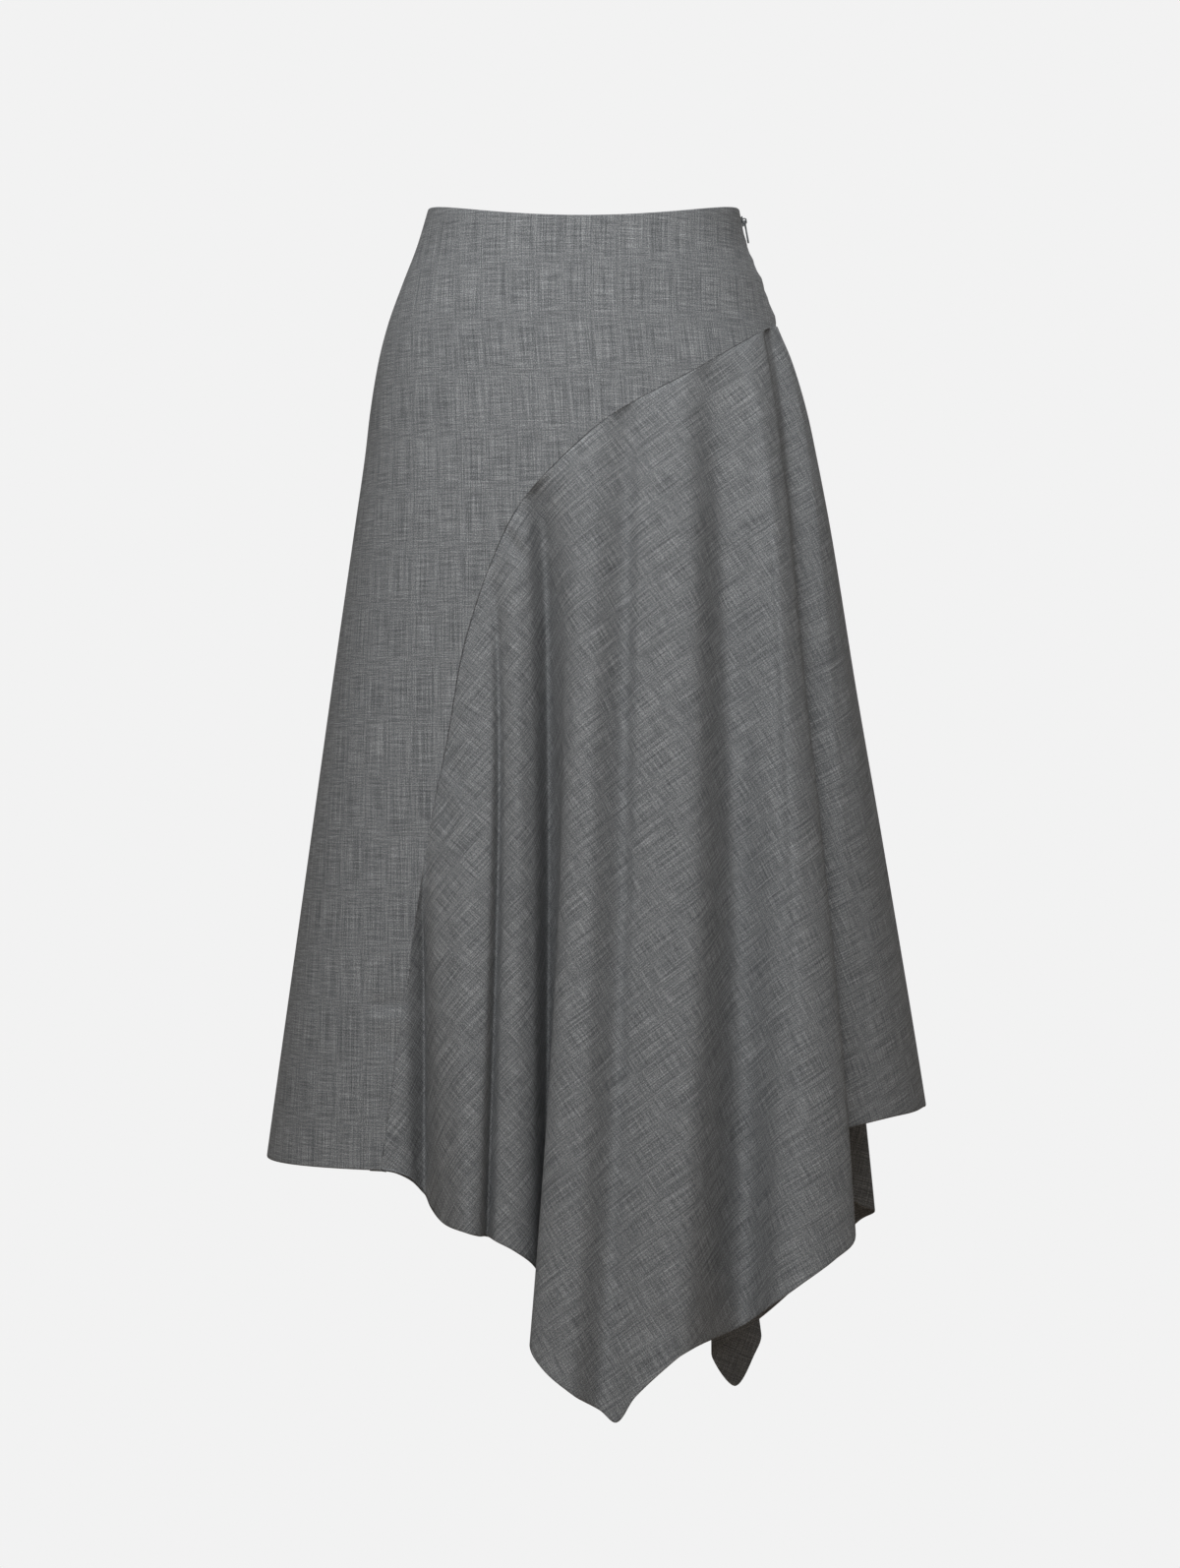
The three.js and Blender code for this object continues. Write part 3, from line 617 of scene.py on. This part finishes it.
BACK_FOLDS = table("along x y drop bulge sway", [
    (14, 266, 30, 733, 0, 0),
    (26, 238, 42, 742, 0, 0),
    (40, 196, 50, 772, -6, 0),
    (52, 228, 60, 815, 0, 0),
    (62, 243, 69, 822, 2, 0),
    (76, 231, 81, 831, 2, 0),
    (100, 182, 100, 886, -10, 0),
    (122, 148, 111, 918, -4, 0),
    (140, 116, 120, 942, -6, 0),
    (152, 110, 132, 952, -4, 0),
    (166, 130, 146, 980, 0, 0),
    (178, 146, 152, 955, 0, 0),
    (188, 152.5, 161, 938, 2, 0),
    (204, 138, 173, 930, 3, 0),
    (225, 105, 184, 922, 3, 0),
    (255, 70, 146, 905, -12, 0),
    (290, 30, 188, 885, 4, 0),
    (325, -5, 150, 868, -12, 0),
    (370, -42, 184, 845, 4, 0),
    (430, -72, 146, 825, -10, 0),
    (520, -104, 170, 800, 3, 0),
    (640, -132, 139, 780, -4, 0),
    (770, -147, 136, 772, 0, 0),
])
HANG_POWER = 0.5
DRAPE_COLUMNS = 240
DRAPE_ROWS = 150
# degrees on the flat cloth from the edge on the zip side, pointing down, to the warp
WARP_FROM_ZIP_EDGE = 105
FLAT_GRID = (181, 31)
UNWRAP_ROUNDS = 20
HEM_SAMPLES = 2401
# the search for the nearest body point: its first step and its last in degrees, and the steps to each side
FIRST_STEP = 10.0
LAST_STEP = 0.001
STEPS_TRIED = np.arange(-9, 10)


def flat_outward(turn, drop):
    """The level direction out of the body."""
    return unit(body_normal(turn, drop) * (1, 1, 0))


def place_on_body(x, y, drop, side):
    """The turns of the body points nearest to places in plan, and how far outside the body those are."""
    middle = 270 if side == "front" else 90
    turn = np.full(x.shape, float(middle))
    step = FIRST_STEP
    while step > LAST_STEP:
        tries = np.clip(turn[:, None] + STEPS_TRIED * step, middle - 90, middle + 90)
        point = body_point(tries, drop[:, None] + 0 * tries)
        gap = np.hypot(x[:, None] - point[..., 0], y[:, None] - point[..., 1])
        turn = tries[np.arange(len(x)), gap.argmin(axis=1)]
        step /= 4
    point = body_point(turn, drop)
    outward = flat_outward(turn, drop)
    return turn, (x - point[:, 0]) * outward[:, 0] + (y - point[:, 1]) * outward[:, 1]


def drape_surface(side, folds):
    """The surface of a drape: across its folds, anticlockwise from above, and down from seam to hem."""
    seam = seam_places(side)
    ends = [(seam["along"][-1] - SEAM_END, body_point(seam["turn"][-1], seam["drop"][-1])),
            (0.0, body_point(seam["turn"][0], np.array(ZIP_SIDE_DROP)))]
    if side == "back":
        ends.reverse()
    along = np.concatenate([[ends[0][0]], folds["along"], [ends[1][0]]])
    hem = np.vstack([ends[0][1], np.stack([folds["x"], folds["y"], -folds["drop"]], axis=1), ends[1][1]])
    samples = np.linspace(0, 1, HEM_SAMPLES)
    knots = samples * (len(along) - 1)
    hem_points = catmull_rom(hem, samples)
    end_drop = -hem_points[:, 2]
    end_turn, end_out = place_on_body(hem_points[:, 0], hem_points[:, 1], end_drop, side)
    start, bulge, sway = (
        smooth_at(table("index value", list(enumerate(values))), "index", "value", knots)
        for values in (along, [0, *folds["bulge"], 0], [0, *folds["sway"], 0]))
    start_turn, start_drop = on_seam(seam, start)
    to_zip = 1 if side == "front" else -1

    def place(u, v):
        columns = (start_turn, start_drop, end_turn, end_drop, end_out, bulge, sway)
        here = [np.interp(u, samples, values) for values in columns]
        hang = np.sin(math.pi * np.clip(v, 0, 1) ** HANG_POWER)
        turn = here[0] + (here[2] - here[0]) * v + here[6] * hang * to_zip
        drop = here[1] + (here[3] - here[1]) * v
        return turn, drop, here[4] * v + here[5] * hang

    def surface(u, v):
        turn, drop, out = place(u, v)
        return body_point(turn, drop) + flat_outward(turn, drop) * out[..., None]

    return surface


def laid_flat(surface):
    """A drape's coarse grid laid flat: unwrapped with the least stretch, at any size and angle."""
    across, down = FLAT_GRID
    points = surface(*np.meshgrid(np.linspace(0, 1, across), np.linspace(0, 1, down)))
    rough = grid_object("rough", across, down, points, np.zeros((down, across, 2)), wool)
    rough.modifiers.clear()
    bpy.context.view_layer.objects.active = rough
    bpy.ops.object.mode_set(mode="EDIT")
    bpy.ops.mesh.select_all(action="SELECT")
    bpy.ops.uv.unwrap(method="MINIMUM_STRETCH", fill_holes=False, correct_aspect=False, no_flip=True,
                      iterations=UNWRAP_ROUNDS)
    bpy.ops.object.mode_set(mode="OBJECT")
    mesh = rough.data
    place = np.empty(2 * len(mesh.loops), "f")
    corner = np.empty(len(mesh.loops), "i")
    mesh.uv_layers["grain"].data.foreach_get("uv", place)
    mesh.loops.foreach_get("vertex_index", corner)
    flat = np.empty((len(mesh.vertices), 2))
    flat[corner] = place.reshape(-1, 2)
    bpy.data.meshes.remove(mesh)
    return flat.reshape(down, across, 2)[::-1]


def with_warp_up(cloth, side, area):
    """The flat drape at its real size, turned so that its warp runs up the page."""
    zip_column = -1 if side == "front" else 0
    edge = cloth[-1, zip_column] - cloth[0, zip_column]
    to_warp = WARP_FROM_ZIP_EDGE if side == "front" else -WARP_FROM_ZIP_EDGE
    turn = math.radians(90 - to_warp) - math.atan2(edge[1], edge[0])
    size = math.sqrt(area / flat_area(outline_of(cloth)))
    turned = np.array([[math.cos(turn), math.sin(turn)], [-math.sin(turn), math.cos(turn)]])
    return cloth @ turned * size


def drape_flat(cloth):
    """The flat place of any point of a drape, between those of its coarse grid."""
    down, across = cloth.shape[:2]

    def flat(u, v):
        i = np.clip(u, 0, 1) * (across - 1)
        j = np.clip(v, 0, 1) * (down - 1)
        i0 = np.minimum(i.astype(int), across - 2)
        j0 = np.minimum(j.astype(int), down - 2)
        right, below = (i - i0)[..., None], (j - j0)[..., None]
        upper = cloth[j0, i0] * (1 - right) + cloth[j0, i0 + 1] * right
        lower = cloth[j0 + 1, i0] * (1 - right) + cloth[j0 + 1, i0 + 1] * right
        return upper * (1 - below) + lower * below

    return flat


for side, folds in (("front", FRONT_FOLDS), ("back", BACK_FOLDS)):
    surface = creased(drape_surface(side, folds), side)
    cloth = with_warp_up(laid_flat(surface), side, area_of(surface) / MM**2)
    flat_of = drape_flat(cloth)
    cut, cut_area = cut_of(flat_of)
    name = f"{side}_drape"
    panel = cloth_panel(
        f"{name}_cloth", surface, flat_of, inner_shares(DRAPE_COLUMNS, 0), inner_shares(DRAPE_ROWS, 0),
        (ROLLED_SEAM, ROLLED_SEAM), ROLLED_SEAM, TURNED_HEM, wool)
    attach(panel, "skirt")
    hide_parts(name)

# The zip's tape: a strip of dark grey herringbone inside the side seam, sewn to it with two rows of
# stitches, with the nylon coil down its middle. It leans in a little below the start of the drapes.
TAPE_TOP = 4
TAPE_SIZE = (22, 190)
TAPE_THICK = 0.5
TAPE_BEHIND = 2.5
TAPE_LEAN = 0.015
TAPE_GRID = (23, 96)
HERRINGBONE = 0.0011
TAPE_COLOUR = (0.095, 0.103, 0.108, 1)
RIDGE_COLOUR = (0.145, 0.155, 0.160, 1)
TAPE_BUMP = {"Strength": 0.5, "Distance": 0.0002}
TAPE_SURFACE = {"Roughness": 0.8, "Specular IOR Level": 0.25}


def make_tape_weave():
    """The tape's material: ridges that slant away from its middle on both sides."""
    weave, tree, shader = new_material("zip_tape_weave", TAPE_SURFACE)
    grain = add_node(tree, "ShaderNodeUVMap", uv_map="grain").outputs[0]
    place = add_node(tree, "ShaderNodeSeparateXYZ", {0: grain})
    from_middle = math_node(tree, "ABSOLUTE", place.outputs[0])
    along = math_node(tree, "ADD", from_middle, place.outputs[1])
    slant = math_node(tree, "MULTIPLY", along, math.tau / HERRINGBONE)
    ridge = math_node(tree, "MULTIPLY_ADD", math_node(tree, "SINE", slant), 0.5, 0.5)
    colour = add_node(tree, "ShaderNodeValToRGB", {"Fac": ridge})
    colour.color_ramp.elements[0].color = TAPE_COLOUR
    colour.color_ramp.elements[1].color = RIDGE_COLOUR
    bump = add_node(tree, "ShaderNodeBump", {"Height": ridge, **TAPE_BUMP})
    tree.links.new(colour.outputs["Color"], shader.inputs["Base Color"])
    tree.links.new(bump.outputs["Normal"], shader.inputs["Normal"])
    return weave


def beside_zip(y, drop, behind):
    """Points of a strip inside the side seam, so far behind its outer face."""
    at = {name: smooth_at(BODY_SECTIONS, "drop", name, drop) for name in BODY_SECTIONS.dtype.names[1:]}
    depth = np.where(y > 0, at["back"], at["front"])
    across = (1 - np.abs(y / depth) ** at["box_right"]) ** (1 / at["box_right"])
    lean = TAPE_LEAN * np.maximum(0, drop - DRAPE_SEAM["drop"][0])
    x = (at["left"] + at["right"]) / 2 + (at["right"] - at["left"]) / 2 * across - behind - lean
    return np.stack([x, y + 0 * x, -drop + 0 * x], axis=-1)


share_u, share_v = np.meshgrid(np.linspace(-0.5, 0.5, TAPE_GRID[0]), np.linspace(0, 1, TAPE_GRID[1]))
tape_across, tape_down = share_u * TAPE_SIZE[0], share_v * TAPE_SIZE[1]
tape = grid_object(
    "zip_tape_cloth", *TAPE_GRID, beside_zip(tape_across, TAPE_TOP + tape_down, TAPE_BEHIND),
    np.stack([tape_across, -tape_down], axis=-1), make_tape_weave())
tape.modifiers["cloth"].thickness = TAPE_THICK * MM
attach(tape, "skirt")
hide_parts("zip_tape")

# The zip's coil: one nylon wire wound in an oval, dark grey, from the top of the slider almost to the
# tape's lower end. It lies on the inner face of the tape, along its middle.
COIL_START = 9
COIL_END = 3
COIL_PITCH = 1.15
COIL_HALF = (0.75, 1.7)
COIL_WIRE = 0.28
COIL_POINTS = 10
COIL_SURFACE = {"Base Color": (0.075, 0.080, 0.084, 1), "Roughness": 0.35, "Specular IOR Level": 0.5}

coil_length = TAPE_TOP + TAPE_SIZE[1] - COIL_START - COIL_END
coil_turn = np.arange(0, math.tau * coil_length / COIL_PITCH, math.tau / COIL_POINTS)
coil_place = beside_zip(COIL_HALF[1] * np.cos(coil_turn), COIL_START + COIL_PITCH * coil_turn / math.tau,
                        TAPE_BEHIND + TAPE_THICK + COIL_HALF[0] * (1 + np.sin(coil_turn)))
wire = bpy.data.curves.new("zip_coil", "CURVE")
wire.dimensions = "3D"
wire.bevel_depth = COIL_WIRE * MM
wire.bevel_resolution = 1
wire.use_fill_caps = True
winding = wire.splines.new("POLY")
winding.points.add(len(coil_place) - 1)
for point, place in zip(winding.points, coil_place * MM):
    point.co = (*place, 1)
wire.materials.append(new_material("nylon_coil", COIL_SURFACE)[0])
coil = add_object("zip_coil", wire)
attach(coil, "skirt")

# The stitches of the zip's tape: two rows of short dark grey threads on its inner face, one near each edge,
# that sew it to the seam. The tape carries them and the coil.
STITCH_PITCH = 2.6
STITCH_SIZE = (0.35, 0.4, 1.8)
STITCH_FROM_MIDDLE = 8
STITCH_MARGIN = 2
THREAD_SURFACE = {"Base Color": TAPE_COLOUR, "Roughness": 0.7, "Specular IOR Level": 0.3}

thread = bmesh.new()
for y in (-STITCH_FROM_MIDDLE, STITCH_FROM_MIDDLE):
    for drop in np.arange(TAPE_TOP + STITCH_MARGIN, TAPE_TOP + TAPE_SIZE[1] - STITCH_MARGIN, STITCH_PITCH):
        place = beside_zip(np.array(y), np.array(drop), TAPE_BEHIND + TAPE_THICK) * MM
        stitch = bmesh.ops.create_icosphere(thread, subdivisions=2, radius=MM / 2)["verts"]
        bmesh.ops.scale(thread, vec=STITCH_SIZE, verts=stitch)
        bmesh.ops.translate(thread, vec=Vector(place), verts=stitch)
for face in thread.faces:
    face.smooth = True
stitches = object_of("tape_stitches", thread, new_material("sewing_thread", THREAD_SURFACE)[0])
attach(stitches, "skirt")

# The slider with its bail, and the pull tab that swings in it: die-cast metal with rounded edges, under
# a semi-gloss dark grey enamel. The slider's neck goes through the seam to the coil behind it.
ENAMEL = {"Base Color": (0.085, 0.093, 0.098, 1), "Roughness": 0.38, "Specular IOR Level": 0.5}
EDGE_RADIUS = {"zip_slider": 0.3, "zip_pull": 0.25}
NECK_SIZE = (3.4, 0.6, 6)
NECK_IN_PLATE = 0.8
ROUNDING_STEPS = 3
SAME_POINT = 0.000001
FLAT_ENOUGH = 0.02
CORNER = math.radians(30)

enamel = new_material("grey_enamel", ENAMEL)[0]
for name, body in (("zip_slider", "skirt"), ("zip_pull", "pull_tab")):
    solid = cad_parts[name]
    form = bmesh.new()
    form.from_mesh(solid.data)
    bmesh.ops.transform(form, matrix=solid.matrix_world, verts=form.verts)
    bmesh.ops.remove_doubles(form, verts=form.verts, dist=SAME_POINT)
    bmesh.ops.dissolve_limit(form, angle_limit=FLAT_ENOUGH, verts=form.verts, edges=form.edges)
    if name == "zip_slider":
        back = min(vert.co.x for vert in form.verts)
        middle = sum((vert.co.z for vert in form.verts), 0.0) / len(form.verts)
        neck = bmesh.ops.create_cube(form, size=MM)["verts"]
        bmesh.ops.scale(form, vec=NECK_SIZE, verts=neck)
        place = Vector((back + (NECK_IN_PLATE - NECK_SIZE[0] / 2) * MM, 0, middle))
        bmesh.ops.translate(form, vec=place, verts=neck)
    for face in form.faces:
        face.smooth = True
    for edge in form.edges:
        edge.smooth = edge.calc_face_angle(0.0) < CORNER
    piece = object_of(f"{name}_cast", form, enamel)
    rounding = piece.modifiers.new("rounding", "BEVEL")
    rounding.width = EDGE_RADIUS[name] * MM
    rounding.segments = ROUNDING_STEPS
    rounding.limit_method = "ANGLE"
    rounding.angle_limit = CORNER
    rounding.harden_normals = True
    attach(piece, body)
    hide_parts(name)
